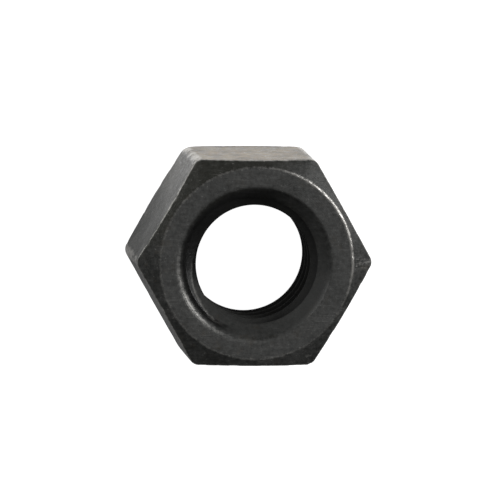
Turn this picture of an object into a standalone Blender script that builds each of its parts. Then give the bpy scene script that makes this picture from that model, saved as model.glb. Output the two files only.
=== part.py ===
"""A plain hexagon nut for a 12 mm coarse thread: one piece of steel, forged to a hexagon, faced and
chamfered on both ends, drilled, countersunk and tapped with a right-hand thread.

Units are metres and +Z is up. The nut lies flat: the thread's axis is Z, the origin is the centre of
the lower bearing face, two corners point along X and two flats face along Y.
"""

import math

import bmesh
import bpy
from mathutils import Matrix, Vector

# Driving dimensions of the hexagon.
ACROSS_FLATS = 0.018
HEIGHT = 0.01075
CORNER_RADIUS = 0.0009
CHAMFER_CIRCLE = 0.0168
CHAMFER_ANGLE = math.radians(30)

# Driving dimensions of the thread. Its groove crosses the lower face at the angle THREAD_START.
THREAD_DIAMETER = 0.012
PITCH = 0.00175
COUNTERSINK_MOUTH = 0.0134
THREAD_START = math.radians(287)

# How finely round shapes are cut into facets, and how far a cutter runs past what it cuts.
RIM_FACETS = 96
BORE_FACETS = 48
CORNER_FACETS = 4
OVERRUN = 0.00015

# What the driving dimensions imply.
THREAD_FLANK = math.radians(30)
SHARP_THREAD_DEPTH = PITCH / 2 / math.tan(THREAD_FLANK)
BORE_RADIUS = THREAD_DIAMETER / 2 - SHARP_THREAD_DEPTH * 5 / 8
ROOT_HALF_WIDTH = PITCH / 16


def clear_scene():
    for thing in list(bpy.data.objects):
        bpy.data.objects.remove(thing, do_unlink=True)


def black_oxide_steel():
    """Steel with the thin blue-black oxide skin that a hot salt bath or oil quench leaves."""
    material = bpy.data.materials.new("black_oxide_steel")
    material.use_nodes = True
    shader = material.node_tree.nodes["Principled BSDF"]
    shader.inputs["Base Color"].default_value = (0.050, 0.050, 0.053, 1)
    shader.inputs["Metallic"].default_value = 0.8
    shader.inputs["Roughness"].default_value = 0.42
    return material


def object_from(shape, name):
    """A new object in the scene that holds the bmesh, with its faces pointing out."""
    bmesh.ops.recalc_face_normals(shape, faces=shape.faces)
    mesh = bpy.data.meshes.new(name)
    shape.to_mesh(mesh)
    shape.free()
    made = bpy.data.objects.new(name, mesh)
    bpy.context.collection.objects.link(made)
    return made


def hexagon_bar(name):
    """The forged blank: a hexagonal bar with slightly rounded corners, as tall as the nut."""
    shape = bmesh.new()
    corner_reach = ACROSS_FLATS / 2 / math.cos(math.pi / 6)
    bmesh.ops.create_circle(shape, cap_ends=True, segments=6, radius=corner_reach)
    # create_circle starts on +Y, so a twelfth of a turn brings the corners onto X.
    bmesh.ops.rotate(shape, verts=shape.verts, matrix=Matrix.Rotation(math.pi / 6, 3, "Z"))
    foot = shape.faces[:]
    raised = bmesh.ops.extrude_face_region(shape, geom=foot)["geom"]
    top = [item for item in raised if isinstance(item, bmesh.types.BMVert)]
    bmesh.ops.translate(shape, verts=top, vec=(0, 0, HEIGHT))
    uprights = [e for e in shape.edges if abs(e.verts[0].co.z - e.verts[1].co.z) > HEIGHT / 2]
    bmesh.ops.bevel(
        shape,
        geom=uprights,
        affect="EDGES",
        offset_type="OFFSET",
        offset=CORNER_RADIUS * math.tan(math.pi / 6),
        segments=CORNER_FACETS,
        profile=0.5,
    )
    return object_from(shape, name)


def turned(name, outline, facets):
    """A solid turned about Z from its outline, a list of (radius, height) from bottom to top."""
    shape = bmesh.new()
    rings = []
    for radius, height in outline:
        turns = [2 * math.pi * i / facets for i in range(facets)]
        ring = [shape.verts.new((radius * math.cos(a), radius * math.sin(a), height)) for a in turns]
        rings.append(ring)
    for low, high in zip(rings, rings[1:]):
        for i in range(facets):
            j = (i + 1) % facets
            shape.faces.new((low[i], low[j], high[j], high[i]))
    shape.faces.new(rings[0])
    shape.faces.new(rings[-1])
    return object_from(shape, name)


def chamfer_envelope(name):
    """The shape that the facing tool leaves: flat ends, and a shallow cone down to the corners."""
    face_radius = CHAMFER_CIRCLE / 2
    reach = ACROSS_FLATS / 2 / math.cos(math.pi / 6) + OVERRUN
    drop = (reach - face_radius) * math.tan(CHAMFER_ANGLE)
    outline = [(face_radius, 0), (reach, drop), (reach, HEIGHT - drop), (face_radius, HEIGHT)]
    return turned(name, outline, RIM_FACETS)


def bore_drill(name):
    """The straight hole before tapping, at the thread's minor diameter."""
    outline = [(BORE_RADIUS, -OVERRUN), (BORE_RADIUS, HEIGHT + OVERRUN)]
    return turned(name, outline, BORE_FACETS)


def countersink(name, at_top):
    """A 90 degree cone that opens the bore to the countersink's mouth at one face."""
    mouth = COUNTERSINK_MOUTH / 2
    depth = mouth - BORE_RADIUS
    outline = [(BORE_RADIUS - OVERRUN, depth + OVERRUN), (mouth + OVERRUN, -OVERRUN)]
    if at_top:
        outline = [(radius, HEIGHT - height) for radius, height in outline]
    else:
        outline.reverse()
    return turned(name, outline, BORE_FACETS)


def thread_tap(name):
    """The ridge of the tap: a 60 degree section, swept up a right-hand helix past both faces.

    It starts a whole turn below the lower face, and so ends about as far above the upper one.
    """
    inner = BORE_RADIUS - OVERRUN
    outer = THREAD_DIAMETER / 2
    inner_half_width = ROOT_HALF_WIDTH + (outer - inner) * math.tan(THREAD_FLANK)
    start = -PITCH
    turns = (HEIGHT + 2 * PITCH) / PITCH
    steps = math.ceil(turns * BORE_FACETS)
    section = (
        (inner, -inner_half_width),
        (outer, -ROOT_HALF_WIDTH),
        (outer, ROOT_HALF_WIDTH),
        (inner, inner_half_width),
    )
    shape = bmesh.new()
    corners = [shape.verts.new((radius, 0, start + height)) for radius, height in section]
    face = shape.faces.new(corners)
    bmesh.ops.rotate(shape, verts=corners, matrix=Matrix.Rotation(THREAD_START, 3, "Z"))
    bmesh.ops.spin(
        shape,
        geom=[*corners, *face.edges, face],
        cent=(0, 0, 0),
        axis=(0, 0, 1),
        dvec=Vector((0, 0, PITCH / BORE_FACETS)),
        angle=2 * math.pi * steps / BORE_FACETS,
        steps=steps,
        use_duplicate=False,
    )
    return object_from(shape, name)


def work(blank, operation, tool):
    """Applies one machining step to the blank: the tool stays in the scene as a hidden guide."""
    tool.hide_render = True
    tool.display_type = "WIRE"
    step = blank.modifiers.new(tool.name, "BOOLEAN")
    step.operation = operation
    step.object = tool


clear_scene()
hex_nut = hexagon_bar("hex_nut")
hex_nut.data.materials.append(black_oxide_steel())
work(hex_nut, "INTERSECT", chamfer_envelope("facing_tool"))
work(hex_nut, "DIFFERENCE", bore_drill("bore_drill"))
work(hex_nut, "DIFFERENCE", countersink("lower_countersink", at_top=False))
work(hex_nut, "DIFFERENCE", countersink("upper_countersink", at_top=True))
work(hex_nut, "DIFFERENCE", thread_tap("thread_tap"))
hex_nut.data.shade_smooth()
hex_nut.data.set_sharp_from_angle(angle=math.radians(25))
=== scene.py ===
"""The looks of a plain hexagon nut: forged, faced, tapped and blackened, lying flat on a pale bench."""

import math

import bpy
from mathutils import Matrix, Vector


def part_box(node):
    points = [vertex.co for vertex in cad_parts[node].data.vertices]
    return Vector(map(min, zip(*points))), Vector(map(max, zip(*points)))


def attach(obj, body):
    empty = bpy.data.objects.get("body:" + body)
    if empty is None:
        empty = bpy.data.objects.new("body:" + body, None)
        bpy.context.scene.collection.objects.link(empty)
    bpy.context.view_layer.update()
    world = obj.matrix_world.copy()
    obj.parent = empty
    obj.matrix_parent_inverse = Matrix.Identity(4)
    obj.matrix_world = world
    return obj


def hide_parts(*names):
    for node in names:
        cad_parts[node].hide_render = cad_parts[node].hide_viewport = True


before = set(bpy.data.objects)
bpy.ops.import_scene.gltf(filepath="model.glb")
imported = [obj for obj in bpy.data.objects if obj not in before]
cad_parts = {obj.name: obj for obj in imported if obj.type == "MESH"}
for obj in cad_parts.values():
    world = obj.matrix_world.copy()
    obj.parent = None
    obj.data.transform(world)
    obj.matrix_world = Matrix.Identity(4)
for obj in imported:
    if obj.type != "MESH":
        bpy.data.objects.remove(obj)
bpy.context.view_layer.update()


# --------------------------------------------------------------------------------------------------
# The nut.
# One lump of medium-carbon steel, forged hot to a hexagon. Both ends are faced and chamfered on a
# lathe, the hole is drilled, countersunk and tapped with a right-hand thread, and a hot oxide bath
# leaves the skin black. Handling has rubbed the rims and corners back towards bare steel. Where the
# rim, the lip and the thread's brink face the window lamp, that bright steel is also a painted
# highlight, and the bore and the chamfers towards +Y and -X are painted darker as shade.

lowest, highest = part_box("hex_nut")
HEIGHT = highest.z - lowest.z
ACROSS_FLATS = highest.y - lowest.y
FORM = {
    "Height": HEIGHT,
    "Across Flats": ACROSS_FLATS,
    "Corner Radius": 0.0009,
    "Chamfer Circle": 0.0168,
    "Chamfer Drift": 0.00008,
    "Thread Diameter": 0.0123,
    "Bore Diameter": 0.0101,
    "Bore Drift": 0.00016,
    "Pitch": 0.00175,
    "Thread Start": math.radians(287),
    "Countersink Mouth": 0.0134,
    "Lip Round": 0.00027,
    "Rim Round": 0.00009,
    "Flat Edge Round": 0.00014,
    "Crest Round": 0.00004,
    "Root Round": 0.00008,
    "Burr Round": 0.000025,
    "Waviness": 0.00003,
    "Nick Depth": 0.00007,
}
CHAMFER_ANGLE = math.radians(30)

# How many columns of quads go round the nut, and how strongly they crowd together at the corners.
COLUMNS = 384
CROWDING = 0.72


class Wire:
    """A node's output. Arithmetic on wires adds Math nodes, so that a formula reads as one."""

    def __init__(self, socket):
        self.socket = socket

    @staticmethod
    def node(tree, kind, settings=None, inputs=(), output=0):
        """Adds one node: its settings first, then a value or a wire for each of its inputs."""
        made = tree.nodes.new(kind)
        for name, value in (settings or {}).items():
            setattr(made, name, value)
        pairs = inputs.items() if isinstance(inputs, dict) else enumerate(inputs)
        for name, value in pairs:
            if isinstance(value, Wire):
                tree.links.new(value.socket, made.inputs[name])
            else:
                made.inputs[name].default_value = value
        return Wire(made.outputs[output])

    def math(self, operation, *others):
        tree = self.socket.id_data
        return Wire.node(tree, "ShaderNodeMath", {"operation": operation}, (self, *others))

    def __add__(self, other):
        return self.math("ADD", other)

    __radd__ = __add__

    def __mul__(self, other):
        return self.math("MULTIPLY", other)

    __rmul__ = __mul__

    def __sub__(self, other):
        return self.math("SUBTRACT", other)

    def __rsub__(self, other):
        return (self * -1) + other

    def __truediv__(self, other):
        return self.math("DIVIDE", other)

    def __rtruediv__(self, other):
        return self.math("POWER", -1) * other

    def __neg__(self):
        return self * -1

    def __abs__(self):
        return self.math("ABSOLUTE")

    def within(self, low, high):
        return self.math("MAXIMUM", low).math("MINIMUM", high)


forge = bpy.data.node_groups.new("nut_forge", "GeometryNodeTree")
forge.interface.new_socket("Nut", in_out="OUTPUT", socket_type="NodeSocketGeometry")
for size_name in FORM:
    forge.interface.new_socket(size_name, in_out="INPUT", socket_type="NodeSocketFloat")
given = forge.nodes.new("NodeGroupInput")
size = {name: Wire(given.outputs[name]) for name in FORM}


def forge_node(kind, settings=None, inputs=(), output=0):
    return Wire.node(forge, kind, settings, inputs, output)


def rounded_ramp(run, width):
    """Zero before an edge and the distance past it after, with a parabola across the width."""
    eased = (run + width).within(0, width * 2)
    return eased * eased / (width * 4) + (run - width).math("MAXIMUM", 0)


def quad_sheet(columns, rows):
    """A flat sheet of quads, and its column and row numbers, which every later formula starts from."""
    counts = {"Size X": columns, "Size Y": rows, "Vertices X": columns + 1, "Vertices Y": rows + 1}
    sheet = forge_node("GeometryNodeMeshGrid", inputs=counts)
    place = forge_node("GeometryNodeInputPosition")
    column = forge_node("ShaderNodeSeparateXYZ", inputs=(place,), output="X") + columns / 2
    row = forge_node("ShaderNodeSeparateXYZ", inputs=(place,), output="Y") + rows / 2
    return sheet, column, row


def angle_round(column):
    """The angle of a column within its turn. Columns crowd together at the six corners."""
    even = column.math("MODULO", COLUMNS) * (2 * math.pi / COLUMNS)
    return even - (even * 6).math("SINE") * (CROWDING / 6)


def facing(angle, degrees):
    """1 in one direction from the axis, 0 square to it and -1 behind."""
    return (angle - math.radians(degrees)).math("COSINE")


def strongest_towards(angle, degrees, least, tight=1.2):
    """How strong an edge mark is: 1 in one direction from the axis, down to the least at its sides."""
    return (facing(angle, degrees) * tight + (1 - tight)).within(least, 1)


def mark_along(distance, width, peak=1.1):
    """An edge mark that is full at the edge's own line and gone a little past the width."""
    return (peak - abs(distance) / width).within(0, 1)


def bent_round(sheet, radius, angle, height):
    """The sheet with each point put at its radius, angle and height."""
    across = radius * angle.math("COSINE")
    along = radius * angle.math("SINE")
    point = forge_node("ShaderNodeCombineXYZ", inputs=(across, along, height))
    return forge_node("GeometryNodeSetPosition", inputs={"Geometry": sheet, "Position": point})


def noted(shape, name, value):
    """The flat sheet with a value stored at each point, for the finish to read after it is bent."""
    inputs = {"Geometry": shape, "Name": name, "Value": value}
    return forge_node("GeometryNodeStoreNamedAttribute", {"domain": "POINT"}, inputs)


# The hexagon seen from above: straight along the flats, and an arc at each corner.
apothem = size["Across Flats"] / 2
corner_radius = size["Corner Radius"]
corner_centre = (apothem - corner_radius) / math.cos(math.pi / 6)
arc_end = corner_radius * math.sin(math.pi / 6)
arc_end = arc_end.math("ARCTAN2", corner_centre + corner_radius * math.cos(math.pi / 6))


def hexagon_radius(angle):
    """How far out the wrench flats are at an angle, and how close it is to a corner, from 0 to 1."""
    off_corner = abs(angle.math("WRAP", math.pi / 6, -math.pi / 6))
    flat = apothem / (math.pi / 6 - off_corner).math("COSINE")
    sideways = corner_centre * off_corner.math("SINE")
    arc = corner_centre * off_corner.math("COSINE")
    arc = arc + (corner_radius * corner_radius - sideways * sideways).math("SQRT")
    at_corner = off_corner.math("LESS_THAN", arc_end)
    near = (1.6 - off_corner / arc_end).within(0, 1)
    return flat + (arc - flat) * at_corner, near


# The blank's outside, from the countersink's lip over the bearing face, down the chamfer and down
# the flat to half height. The same sheet turned over makes the other half. Each rounded edge has
# several rows across it and one narrow row on either side, which holds the faces next to it flat.
LIP_RUN = 0.0005
lip_drop = LIP_RUN * math.sqrt(0.5)
HOLD = 0.00003
ROWS_PER_BAND = (1, 5, 1, 9, 1, 5, 1, 7, 1, 6, 1, 14)
mouth = size["Countersink Mouth"] / 2

# Directions from the axis, in degrees: the facing tool ran a little off centre, one side of the lip
# was broken wider, and handling has rubbed the lip, the rim and one corner harder than the rest. The
# rubbed side of the lip and of the rim is also a painted highlight, placed where each faces the window
# lamp.
RIM_DRIFTS_TO = 20
LIP_WIDEST_AT = 210
LIP_WEAR_AND_GLINT_AT = 208
RIM_WEAR_AND_GLINT_AT = 28
CORNER_WORN_AT = 350

# How far past the line of its edge each mark has grown to its full strength.
CORNER_WEAR_GROWS = 0.0001
WRENCH_FLAT_GROWS = 0.0002
SCUFFS_GROW = 0.0003


def half_outside(upper):
    sheet, column, row = quad_sheet(COLUMNS, sum(ROWS_PER_BAND))
    angle = angle_round(column)
    reach, near_corner = hexagon_radius(angle)
    rim = size["Chamfer Circle"] / 2 + facing(angle, RIM_DRIFTS_TO) * size["Chamfer Drift"]
    lip = size["Lip Round"] * (1 + facing(angle, LIP_WIDEST_AT) * 0.6)
    bend, edge = size["Rim Round"], size["Flat Edge Round"]
    ring = rim - mouth
    slope = (reach - rim) / math.cos(CHAMFER_ANGLE)
    side = size["Height"] / 2 - (reach - rim) * math.tan(CHAMFER_ANGLE)
    bands = (
        LIP_RUN - lip,
        lip * 2,
        HOLD,
        ring - lip - bend - HOLD * 2,
        HOLD,
        bend * 2,
        HOLD,
        slope - bend - edge - HOLD * 2,
        HOLD,
        edge * 2,
        HOLD,
        side - edge - HOLD,
    )
    path = 0
    done = 0
    for length, rows in zip(bands, ROWS_PER_BAND):
        path = path + length * ((row - done) / rows).within(0, 1)
        done += rows
    from_lip = path - LIP_RUN
    from_rim = from_lip - ring
    from_edge = from_rim - slope
    past_lip = rounded_ramp(from_lip, lip)
    past_rim = rounded_ramp(from_rim, bend)
    past_edge = rounded_ramp(from_edge, edge)

    # The way along the path: up the 45 degree lip, out over the face, down the chamfer, down the flat.
    up, out, down = math.sqrt(0.5), math.cos(CHAMFER_ANGLE), math.sin(CHAMFER_ANGLE)
    radius = mouth - lip_drop + path * up + past_lip * (1 - up)
    radius = radius + past_rim * (out - 1) - past_edge * out
    height = path * up - lip_drop - past_lip * up
    height = height - past_rim * down - past_edge * (1 - down)
    height = size["Height"] + height if upper else -height

    # The lip's and the rim's rubbed bands are partly wear and partly a painted highlight, strongest where
    # they face the window lamp.
    edge_wear_and_glint = mark_along(from_lip, lip * 1.5) * strongest_towards(angle, LIP_WEAR_AND_GLINT_AT, 0.05, 1.7) * 0.62
    rim_wear_and_glint = mark_along(from_rim, bend * 2.2, 1.3) * strongest_towards(angle, RIM_WEAR_AND_GLINT_AT, 0.48)
    flat_edge_wear = mark_along(from_edge, edge * 1.6) * 0.68
    corner_wear = near_corner * (past_edge / CORNER_WEAR_GROWS).within(0, 1) * 0.72
    for more in (rim_wear_and_glint, flat_edge_wear, corner_wear):
        edge_wear_and_glint = edge_wear_and_glint.math("MAXIMUM", more)
    scuffed = near_corner * (past_rim / SCUFFS_GROW).within(0, 1)
    scuffed = scuffed * strongest_towards(angle, CORNER_WORN_AT, 0.25)
    sheet = noted(sheet, "edge_wear_and_glint", edge_wear_and_glint)
    sheet = noted(sheet, "wrench_flat", (past_edge / WRENCH_FLAT_GROWS).within(0, 1))
    sheet = noted(sheet, "corner", scuffed)
    sheet = bent_round(sheet, radius, angle, height)
    return forge_node("GeometryNodeFlipFaces", inputs=(sheet,)) if upper else sheet


# The bore: one strip a pitch wide that winds up the right-hand helix from below the lower lip to
# above the upper one. Its rows follow the crest, flanks and root of the thread and every line where
# they run out into a countersink. What would stand past a lip is gathered onto it and merged. The
# root is a little wider than the nominal 12 mm, as a real tap leaves it.
FLANK = 1 / math.tan(math.radians(30))
TURNS = 9
ROWS_ACROSS_TOOTH = 28
ROUNDING_GUARD = 0.0001
BORE_DRIFTS_TO = 280
BORE_DRIFT_GROWS = 0.0008
SHADE_GROWS = 0.00006
BRINK_WIDTH = 0.00009
BRINK_GLINT_AT = 203
BRINK_FADES_FROM = 0.001
BRINK_FADES_OVER = 0.001
pitch = size["Pitch"]
thread_root = size["Thread Diameter"] / 2
thread_crest = size["Bore Diameter"] / 2
root_edge = pitch * (7 / 16)
crest_edge = root_edge - (thread_root - thread_crest) / FLANK
flank_base = thread_crest - crest_edge * FLANK


def bore_strip():
    # Each piece of a tooth: its radius at the tooth's middle line, its lean, and where it starts and ends.
    pieces_of_tooth = (
        (thread_root, 0, pitch * -0.5, -root_edge),
        (flank_base, -FLANK, -root_edge, -crest_edge),
        (thread_crest, 0, -crest_edge, crest_edge),
        (flank_base, FLANK, crest_edge, root_edge),
        (thread_root, 0, root_edge, pitch * 0.5),
    )
    rounds = (0, size["Root Round"], size["Crest Round"], size["Crest Round"], size["Root Round"], 0)
    sheet, column, row = quad_sheet(COLUMNS * TURNS, ROWS_ACROSS_TOOTH)
    angle = angle_round(column)
    whole_turns = (column / COLUMNS + ROUNDING_GUARD).math("FLOOR")
    tooth = pitch * ((angle - size["Thread Start"]) / (2 * math.pi) + whole_turns - 0.5)
    depth = tooth.math("MINIMUM", size["Height"] - tooth)
    toward = (tooth - size["Height"] / 2).math("SIGN")
    cone_at_tooth = mouth - depth

    # Three rows stand where the cone crosses each piece, and three more round each bend between two.
    stations = [pitch * -0.5]
    for number, (base, lean, start, end) in enumerate(pieces_of_tooth):
        crossing = (cone_at_tooth - base) / (lean - toward)
        spread = size["Burr Round"] / abs(lean - toward)
        low, high = start + rounds[number], end - rounds[number + 1]
        stations += [(crossing + spread * side).within(low, high) for side in (-1, 0, 1)]
        if number < len(pieces_of_tooth) - 1:
            stations += [end + rounds[number + 1] * side for side in (-1, 0, 1)]
    stations.append(pitch * 0.5)
    across = stations[0]
    for number, (here, there) in enumerate(zip(stations, stations[1:])):
        across = across + (there - here) * (row - number).within(0, 1)

    off_crest = abs(across)
    cut = rounded_ramp(off_crest - crest_edge, size["Crest Round"])
    cut = cut - rounded_ramp(off_crest - root_edge, size["Root Round"])
    tapped = thread_crest + cut * FLANK
    height = (tooth + across).math("MAXIMUM", lip_drop).math("MINIMUM", size["Height"] - lip_drop)
    deep = height.math("MINIMUM", size["Height"] - height)
    cone = mouth - deep
    groove = rounded_ramp(tapped - cone, size["Burr Round"])
    off_centre = facing(angle, BORE_DRIFTS_TO) * size["Bore Drift"]
    off_centre = off_centre * ((deep - lip_drop) / BORE_DRIFT_GROWS).within(0, 1)

    # Painted shade: the root and the flank that faces down are painted black. Painted highlight: the
    # groove's upper brink is painted bright where it faces the window lamp.
    near_root = ((off_crest - pitch * 0.3) / (pitch * 0.1)).within(0, 1)
    facing_down = (-across / (pitch * 0.05)).within(0, 1)
    shaded = near_root.math("MAXIMUM", facing_down) * (groove / SHADE_GROWS).within(0, 1)
    painted_brink_glint = mark_along(tapped - cone, BRINK_WIDTH, 1.2) * across.math("GREATER_THAN", 0)
    painted_brink_glint = painted_brink_glint * (1 - (deep - BRINK_FADES_FROM) / BRINK_FADES_OVER).within(0, 1)
    painted_brink_glint = painted_brink_glint * strongest_towards(angle, BRINK_GLINT_AT, 0, 1.6) * 0.7
    sheet = noted(sheet, "groove", shaded)
    sheet = noted(sheet, "edge_wear_and_glint", painted_brink_glint)
    sheet = bent_round(sheet, cone + groove + off_centre, angle, height)
    return forge_node("GeometryNodeFlipFaces", inputs=(sheet,))


MERGE_WITHIN = 0.0000015
joined = forge.nodes.new("GeometryNodeJoinGeometry")
for shell in (half_outside(upper=False), half_outside(upper=True), bore_strip()):
    forge.links.new(shell.socket, joined.inputs[0])
merged = {"Geometry": Wire(joined.outputs[0]), "Distance": MERGE_WITHIN}
whole = forge_node("GeometryNodeMergeByDistance", inputs=merged)


# Hot forging leaves the flats a little wavy, and knocks in a bin of nuts leave nicks along the edges.
FORGED_SKIN_GROWS = 0.0006
WAVES_PER_METRE = 260.0
PITS_PER_METRE = 1500.0
KNOCKS_PER_METRE = 900.0
place = forge_node("GeometryNodeInputPosition")


def lumps(scale, detail):
    """A noise around zero, with about this many lumps to a metre."""
    inputs = {"Vector": place, "Scale": scale, "Detail": detail}
    return forge_node("ShaderNodeTexNoise", inputs=inputs) - 0.5


wave = lumps(WAVES_PER_METRE, 2.0)
pit = lumps(PITS_PER_METRE, 1.0)
knock = lumps(KNOCKS_PER_METRE, 0.0)
edge_wear_and_glint = forge_node("GeometryNodeInputNamedAttribute", inputs={"Name": "edge_wear_and_glint"})
east = forge_node("ShaderNodeSeparateXYZ", inputs=(place,), output="X")
north = forge_node("ShaderNodeSeparateXYZ", inputs=(place,), output="Y")
reach = (east * east + north * north).math("SQRT")
forged = ((reach - size["Chamfer Circle"] / 2) / FORGED_SKIN_GROWS).within(0, 1)
knocked = (pit * 5 + (knock - 0.08) * 8).within(0, 1) * edge_wear_and_glint * (forged * 0.8 + 0.2)
lift = (wave * 2 + pit * 0.35) * forged * size["Waviness"] - knocked * size["Nick Depth"]
outwards = forge_node("GeometryNodeInputNormal")
shove = forge_node("ShaderNodeVectorMath", {"operation": "SCALE"}, {0: outwards, "Scale": lift})
whole = forge_node("GeometryNodeSetPosition", inputs={"Geometry": whole, "Offset": shove})


# The skin: a thin black oxide over satin steel. It is mottled where the bath took unevenly, streaked
# where the nut slid and rubbed, thinned to brown and painted paler as painted light on the flat at +Y,
# painted darker as shade on the chamfers towards +Y and -X and down one side of the bore, and worn
# through to steel along the edges, with a painted highlight where lip, rim and brink face the window
# lamp. Patterns are laid out in millimetres.
DEEP_OXIDE = (0.029, 0.030, 0.028, 1)
PALE_OXIDE = (0.130, 0.131, 0.127, 1)
RUST = (0.11, 0.085, 0.055, 1)
SHADE_OLIVE = (0.020, 0.020, 0.012, 1)
SHADE_BLACK = (0.008, 0.008, 0.008, 1)
BROWN_FILM_AND_LIGHT = (0.27, 0.225, 0.165, 1)
STEEL_GREY = (0.40, 0.39, 0.37, 1)
SATIN = 0.45
RIPPLE_PER_MM = 42
RELIEF_DEPTH = 0.00003
MILLIMETRES = 1000.0
FACE_RADIUS = FORM["Chamfer Circle"] / 2 * MILLIMETRES
MOUTH_RADIUS = FORM["Countersink Mouth"] / 2 * MILLIMETRES
FLAT_Y = ACROSS_FLATS / 2 * MILLIMETRES
MIDDLE_Z = HEIGHT / 2 * MILLIMETRES

steel = bpy.data.materials.new("black_oxide_skin")
steel.use_nodes = True
skin = steel.node_tree
shader = skin.nodes["Principled BSDF"]


def skin_node(kind, settings=None, inputs=(), output=0):
    return Wire.node(skin, kind, settings, inputs, output)


def grain(vector, scale, detail=2.0, roughness=0.5):
    """A noise around zero, about a quarter either way, with grains 1 / scale of a millimetre across."""
    inputs = {"Vector": vector, "Scale": scale, "Detail": detail, "Roughness": roughness}
    return skin_node("ShaderNodeTexNoise", inputs=inputs) - 0.5


def stretched(vector, turn, stretch):
    """The place turned in the plane of the faces and stretched, so that a noise on it makes streaks."""
    settings = {"vector_type": "POINT"}
    inputs = {"Vector": vector, "Rotation": (0, 0, math.radians(turn)), "Scale": stretch}
    return skin_node("ShaderNodeMapping", settings, inputs)


def tint(factor, first, second):
    """One colour fading to another."""
    inputs = {0: factor, 6: first, 7: second}
    return skin_node("ShaderNodeMix", {"data_type": "RGBA"}, inputs, output=2)


def fade(value, low, high):
    """A smooth step from 0 at low to 1 at high."""
    inputs = {"Value": value, "From Min": low, "From Max": high}
    return skin_node("ShaderNodeMapRange", {"interpolation_type": "SMOOTHSTEP"}, inputs)


def noted_on_mesh(name):
    return skin_node("ShaderNodeAttribute", {"attribute_name": name}, output="Fac")


metres = skin_node("ShaderNodeTexCoord", output="Object")
spot = skin_node("ShaderNodeVectorMath", {"operation": "SCALE"}, {0: metres, "Scale": MILLIMETRES})
x, y, z = (skin_node("ShaderNodeSeparateXYZ", inputs=(spot,), output=name) for name in "XYZ")
from_axis = (x * x + y * y).math("SQRT")
on_flat = noted_on_mesh("wrench_flat")
in_bore = 1 - fade(from_axis, MOUTH_RADIUS - 0.5, MOUTH_RADIUS)
at_end = fade(abs(z - MIDDLE_Z), MIDDLE_Z - 0.2, MIDDLE_Z)
on_face = (1 - fade(from_axis, FACE_RADIUS - 0.1, FACE_RADIUS + 0.1)) * (1 - in_bore) * at_end

clouds = grain(spot, 0.55, 3.0, 0.6)
mottle = grain(spot, 2.6, 4.0, 0.65)
speck = grain(spot, 9.0, 2.0, 0.6)
streaks = grain(stretched(spot, 38, (0.5, 4.5, 1.0)), 1.3, 3.0, 0.6)
scratches = grain(stretched(spot, 27, (0.35, 16, 2.0)), 1.0, 1.0)
scratches = fade(scratches, 0.16, 0.24) * fade(clouds, -0.08, 0.1)

# The oxide: palest on the bearing faces, which rub on other nuts, and blotchiest on the flats.
paleness = mottle * 1.3 + clouds * 0.7 + speck * 0.6 + streaks * 0.5
paleness = paleness * (1 + on_flat * 1.2) + 0.22 + on_face * 0.33 - on_flat * 0.1
oxide = tint(paleness.within(0, 1), DEEP_OXIDE, PALE_OXIDE)
oxide = tint(fade(grain(spot, 0.9, 4.0, 0.7), 0.05, 0.22) * 0.2, oxide, RUST)
# Painted shade: the chamfers towards +Y and -X are painted darker and olive.
painted_chamfer_shade = fade(y - x * 0.6, 5.5, 8.5) * (1 - on_flat) * (1 - on_face) * (1 - in_bore)
oxide = tint(painted_chamfer_shade * 0.6, oxide, SHADE_OLIVE)
oxide = tint(scratches * 0.2, oxide, STEEL_GREY)
# The flat at +Y: partly a thin brown film, partly painted light that makes that flat paler, less so next
# to the bench.
thin_film_and_painted_light = fade(y, FLAT_Y - 0.3, FLAT_Y - 0.1) * 0.55 * (0.3 + fade(z, 0.7, 2.2) * 0.7)
thin_film_and_painted_light = on_flat * (thin_film_and_painted_light + fade(y, 2.0, 9.0) * 0.04)
thin_film_and_painted_light = thin_film_and_painted_light * (1 + speck * 2 + mottle * 3 + clouds * 3)
oxide = tint(thin_film_and_painted_light.within(0, 1), oxide, BROWN_FILM_AND_LIGHT)
# Painted shade: the whole bore is painted nearer the deepest oxide.
oxide = tint(in_bore * 0.45, oxide, DEEP_OXIDE)

# Painted shade: the bore is painted near-black between +Y and -X, and a painted shadow runs just inside
# the mouth on the whole -X side. The thread's roots and downward flanks are painted black as shade too.
painted_bore_shade = fade((y - x) / from_axis, 0.2, 1.0)
painted_mouth_shadow = fade(-x / from_axis, 0.2, 0.6) * fade(from_axis, 5.8, 6.05)
painted_bore_shade = painted_bore_shade.math("MAXIMUM", painted_mouth_shadow) * in_bore * (0.93 - fade(y, 3.0, 6.0) * 0.2)
painted_groove_shade = noted_on_mesh("groove") * 0.85
oxide = tint(painted_bore_shade.math("MAXIMUM", painted_groove_shade), oxide, SHADE_BLACK)

# Bare steel: along the edges, in ragged patches on the corners, and in small chips. Along the lip, the
# rim and the thread's brink it is also a painted highlight, where they face the window lamp.
ragged = 1 + on_flat * (mottle * 3 + clouds * 3)
wear_and_glint = noted_on_mesh("edge_wear_and_glint") * ragged + mottle * 0.7 + speck * 0.3
wear_and_glint = fade(wear_and_glint, 0.3, 0.95) * (1 - in_bore * 0.3)
scuffs = fade(noted_on_mesh("corner") + mottle * 2.0 + streaks * 2.0, 0.75, 1.3)
wear_and_glint = wear_and_glint.math("MAXIMUM", scuffs * 0.6)
chips = fade(speck + mottle * 0.7, 0.24, 0.3) * (1 - in_bore)
bare_steel_and_glint = (wear_and_glint * 0.85).math("MAXIMUM", chips * 0.7)

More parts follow.
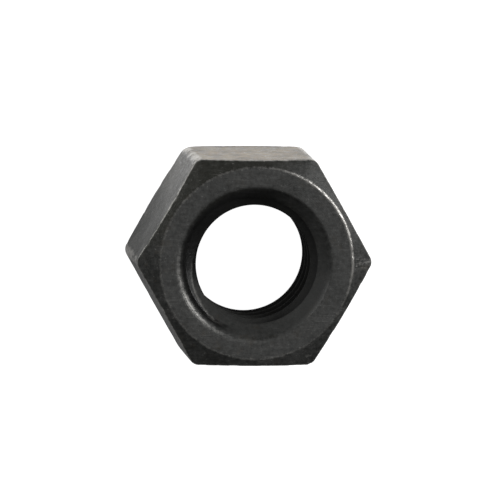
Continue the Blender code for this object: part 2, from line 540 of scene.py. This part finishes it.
colour = tint(bare_steel_and_glint, oxide, STEEL_GREY)
skin.links.new(colour.socket, shader.inputs["Base Color"])
metal = 0.35 + bare_steel_and_glint * 0.6 - in_bore * 0.25 - painted_bore_shade * 0.1
skin.links.new(metal.within(0, 1).socket, shader.inputs["Metallic"])
gloss = SATIN + mottle * (0.35 + on_flat * 0.6) + streaks * 0.2
gloss = gloss - bare_steel_and_glint * 0.14 + in_bore * 0.25 - painted_bore_shade * 0.4
skin.links.new(gloss.within(0.25, 0.9).socket, shader.inputs["Roughness"])

# The facing tool leaves fine rings, about seven to a millimetre.
rings = (from_axis * RIPPLE_PER_MM + clouds * 9).math("SINE") * (1 - in_bore) * 0.12
relief = (mottle * 1.2 + speck * 0.9) * (1 + on_flat * 1.5) + rings - scratches * 0.5 - chips * 0.6
settings = {"Strength": 0.55, "Distance": RELIEF_DEPTH, "Height": relief}
bumped = skin_node("ShaderNodeBump", inputs=settings)
skin.links.new(bumped.socket, shader.inputs["Normal"])

whole = forge_node("GeometryNodeSetShadeSmooth", inputs={"Geometry": whole})
whole = forge_node("GeometryNodeRealizeInstances", inputs={"Geometry": whole})
whole = forge_node("GeometryNodeSetMaterial", inputs={"Geometry": whole, "Material": steel})
result = forge.nodes.new("NodeGroupOutput")
forge.links.new(whole.socket, result.inputs[0])

blank = bpy.data.objects.new("nut_blank", bpy.data.meshes.new("nut_blank"))
bpy.context.scene.collection.objects.link(blank)
forging = blank.modifiers.new("forging", "NODES")
forging.node_group = forge
for socket in forge.interface.items_tree:
    if socket.in_out == "INPUT":
        forging[socket.identifier] = FORM[socket.name]
graph = bpy.context.evaluated_depsgraph_get()
nut_mesh = bpy.data.meshes.new_from_object(
    blank.evaluated_get(graph), preserve_all_data_layers=True, depsgraph=graph
)
blank.modifiers.remove(forging)
bpy.data.objects.remove(blank)
nut = bpy.data.objects.new("blackened_nut", nut_mesh)
bpy.context.scene.collection.objects.link(nut)
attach(nut, "root")
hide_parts("hex_nut")


# --------------------------------------------------------------------------------------------------
# The bench.
# A matt white board that glows evenly where it is looked at, so that it reads as a bright, clean
# ground. Its glow is painted light: it sends less light back onto the nut, and less still from the side
# nearer -Y, a painted pool of light brightest towards +Y.

BENCH_REACH = 2
BENCH_GAP = 0.00002
BENCH_NEAR = 0.16
BENCH_FAR = 0.9
BENCH_BRIGHTENS_OVER = 0.009
floor_corners = [(a * BENCH_REACH, b * BENCH_REACH, 0) for a, b in ((-1, -1), (1, -1), (1, 1), (-1, 1))]
floor_mesh = bpy.data.meshes.new("bench_top")
floor_mesh.from_pydata(floor_corners, [], [(0, 1, 2, 3)])
floor = bpy.data.objects.new("bench_top", floor_mesh)
floor.location.z = lowest.z - BENCH_GAP
bpy.context.scene.collection.objects.link(floor)
pale = bpy.data.materials.new("pale_bench")
pale.use_nodes = True
bench = pale.node_tree
pale_shader = bench.nodes["Principled BSDF"]
pale_shader.inputs["Base Color"].default_value = (0.8, 0.8, 0.8, 1)
pale_shader.inputs["Roughness"].default_value = 0.7
pale_shader.inputs["Emission Strength"].default_value = 1
looked_at = Wire.node(bench, "ShaderNodeLightPath", output="Is Camera Ray")
on_bench = Wire.node(bench, "ShaderNodeTexCoord", output="Object")
along = Wire.node(bench, "ShaderNodeSeparateXYZ", inputs=(on_bench,), output="Y")
painted_pool_of_light = (along / BENCH_BRIGHTENS_OVER).within(0, 1)
glow = BENCH_NEAR + painted_pool_of_light * painted_pool_of_light * (BENCH_FAR - BENCH_NEAR)
glow = glow + looked_at * (1 - glow)
greys = {0: glow, 6: (0, 0, 0, 1), 7: (1, 1, 1, 1)}
glow_colour = Wire.node(bench, "ShaderNodeMix", {"data_type": "RGBA"}, greys, output=2)
bench.links.new(glow_colour.socket, pale_shader.inputs["Emission Color"])
floor_mesh.materials.append(pale)


# --------------------------------------------------------------------------------------------------
# The room and its lamps.
# A plain white room, brightest overhead and dimmer towards the walls. A square softbox on the right
# stands for the window, and a low wide one opposite it fills the flats and the bore.

WALL_LIGHT = 0.8
CEILING_LIGHT = 5.6
world = bpy.data.worlds.new("studio")
world.use_nodes = True
room = world.node_tree
ray = Wire.node(room, "ShaderNodeTexCoord", output="Generated")
upward = Wire.node(room, "ShaderNodeSeparateXYZ", inputs=(ray,), output="Z")
climb = {"Value": upward, "From Min": 0.4, "From Max": 1.0, "To Min": WALL_LIGHT, "To Max": CEILING_LIGHT}
brightness = Wire.node(room, "ShaderNodeMapRange", {"interpolation_type": "SMOOTHSTEP"}, climb)
room.links.new(brightness.socket, room.nodes["Background"].inputs["Strength"])
bpy.context.scene.world = world
bpy.context.scene.view_settings.view_transform = "Standard"


def softbox(name, azimuth, elevation, distance, width, height, power):
    """A rectangular lamp that faces the nut, from a direction in degrees and a distance in metres."""
    lamp = bpy.data.lights.new(name, "AREA")
    lamp.shape = "RECTANGLE"
    lamp.size = width
    lamp.size_y = height
    lamp.energy = power
    turn, rise = math.radians(azimuth), math.radians(elevation)
    way = Vector((math.cos(turn) * math.cos(rise), math.sin(turn) * math.cos(rise), math.sin(rise)))
    stand = bpy.data.objects.new(name, lamp)
    stand.location = Vector((0, 0, HEIGHT / 2)) + way * distance
    stand.rotation_euler = way.to_track_quat("Z", "Y").to_euler()
    bpy.context.scene.collection.objects.link(stand)


softbox("window", azimuth=23, elevation=38, distance=0.5, width=0.18, height=0.18, power=1.05)
softbox("fill", azimuth=150, elevation=12, distance=0.5, width=0.35, height=0.1, power=0.8)


# --------------------------------------------------------------------------------------------------
# The camera.
# It looks almost straight down the bore from far off, through a long lens, and leans a little towards
# the upper left, so that the wrench flats on that side show.

TILT = math.radians(10.8)
TILT_TOWARD = math.radians(133.8)
ROLL = math.radians(-1.05)
VIEW_WIDTH = 0.04325
AIM = (-0.00051, 0.00121)
CAMERA_DISTANCE = 0.975
SENSOR_WIDTH = 36

toward_camera = Vector((
    math.sin(TILT) * math.cos(TILT_TOWARD),
    math.sin(TILT) * math.sin(TILT_TOWARD),
    math.cos(TILT),
))
up = Vector((math.sin(ROLL), math.cos(ROLL), 0))
up = (up - toward_camera * up.dot(toward_camera)).normalized()
right = up.cross(toward_camera)
aim_point = Vector((0, 0, highest.z)) + right * AIM[0] + up * AIM[1]
stand_point = aim_point + toward_camera * CAMERA_DISTANCE
camera_data = bpy.data.cameras.new("camera")
camera_data.sensor_width = SENSOR_WIDTH
camera_data.lens = SENSOR_WIDTH * CAMERA_DISTANCE / VIEW_WIDTH
camera_data.clip_end = 10
camera = bpy.data.objects.new("camera", camera_data)
turned = Matrix((right, up, toward_camera)).transposed().to_4x4()
camera.matrix_world = Matrix.Translation(stand_point) @ turned
bpy.context.scene.collection.objects.link(camera)
bpy.context.scene.camera = camera
